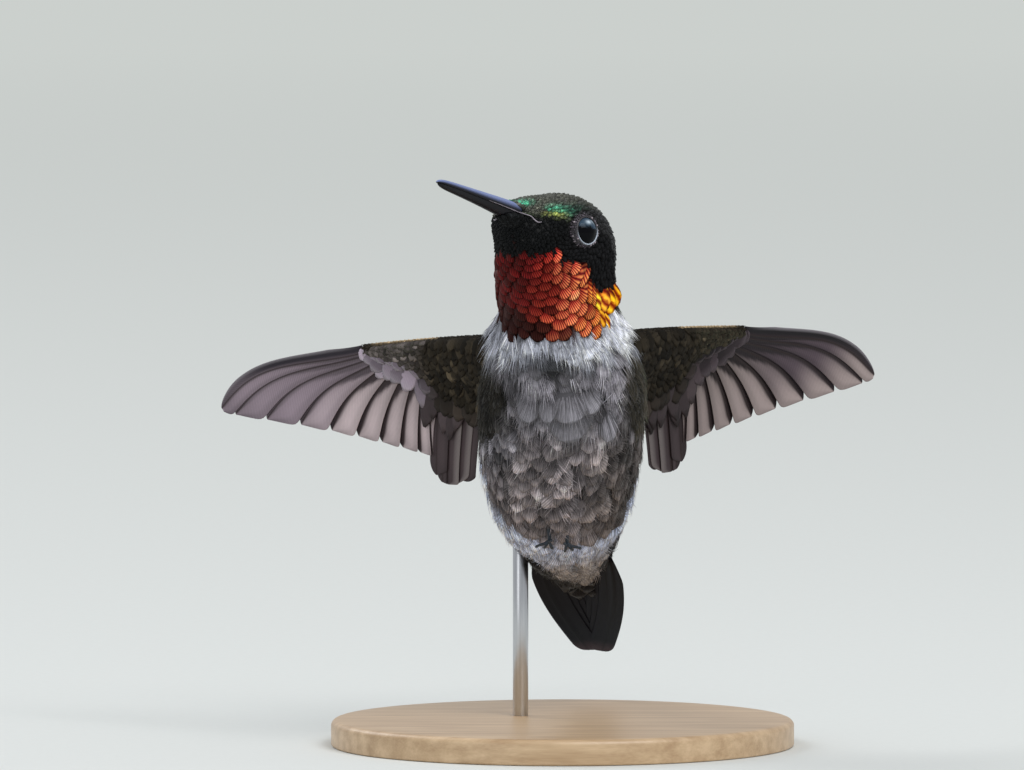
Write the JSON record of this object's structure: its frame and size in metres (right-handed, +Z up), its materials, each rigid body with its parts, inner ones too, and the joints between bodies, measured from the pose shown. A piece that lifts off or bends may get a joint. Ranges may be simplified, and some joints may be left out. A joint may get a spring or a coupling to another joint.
{
  "type": "ruby-throated hummingbird",
  "caption": "Small hovering hummingbird with a long thin bill, a glittering red throat, swept-back narrow wings and a short dark tail, held up on a rod over a round base.",
  "frame": {"origin": "centre of the display base's flat underside", "axes": "+Z up; the bird hovers facing -Y, with its left side towards +X"},
  "size_m": [0.0775, 0.0603, 0.0678],
  "materials": {
    "crown": "small overlapping feathers, black on the face, glossy green on the crown",
    "throat": "scale-like feathers with a metallic red to golden-orange sheen",
    "trunk": "soft feathers, pale grey breast, mottled grey-brown belly, green back",
    "rump": "soft feathers, whitish below, green above",
    "coverts": "small dark olive overlapping feathers",
    "remiges": "thin mauve-grey flight feathers with dark shafts",
    "tail": "blackish feathers with a faint purple sheen",
    "bill": "smooth black horn",
    "eye": "glossy black, moist",
    "foot": "dark scaly skin and horn claws",
    "base": "pale turned wood, satin",
    "rod": "fine drawn steel rod"
  },
  "bodies": {
    "root": {"head": "crown", "bill_upper": "bill", "bill_lower": "bill", "eye_left": "eye", "eye_right": "eye", "neck": "throat", "trunk": "trunk", "rump": "rump", "tail_left": "tail", "tail_right": "tail", "leg_left": "foot", "leg_right": "foot", "foot_left": "foot", "foot_right": "foot", "wing_left_arm": "coverts", "wing_left_primary_10": "remiges", "wing_left_primary_09": "remiges", "wing_left_primary_08": "remiges", "wing_left_primary_07": "remiges", "wing_left_primary_06": "remiges", "wing_left_primary_05": "remiges", "wing_left_primary_04": "remiges", "wing_left_primary_03": "remiges", "wing_left_primary_02": "remiges", "wing_left_primary_01": "remiges", "wing_left_secondary_01": "remiges", "wing_left_secondary_02": "remiges", "wing_left_secondary_03": "remiges", "wing_left_secondary_04": "remiges", "wing_left_secondary_05": "remiges", "wing_left_secondary_06": "remiges", "wing_right_arm": "coverts", "wing_right_primary_10": "remiges", "wing_right_primary_09": "remiges", "wing_right_primary_08": "remiges", "wing_right_primary_07": "remiges", "wing_right_primary_06": "remiges", "wing_right_primary_05": "remiges", "wing_right_primary_04": "remiges", "wing_right_primary_03": "remiges", "wing_right_primary_02": "remiges", "wing_right_primary_01": "remiges", "wing_right_secondary_01": "remiges", "wing_right_secondary_02": "remiges", "wing_right_secondary_03": "remiges", "wing_right_secondary_04": "remiges", "wing_right_secondary_05": "remiges", "wing_right_secondary_06": "remiges", "stand_base": "base", "stand_rod": "rod"}
  },
  "joints": []
}
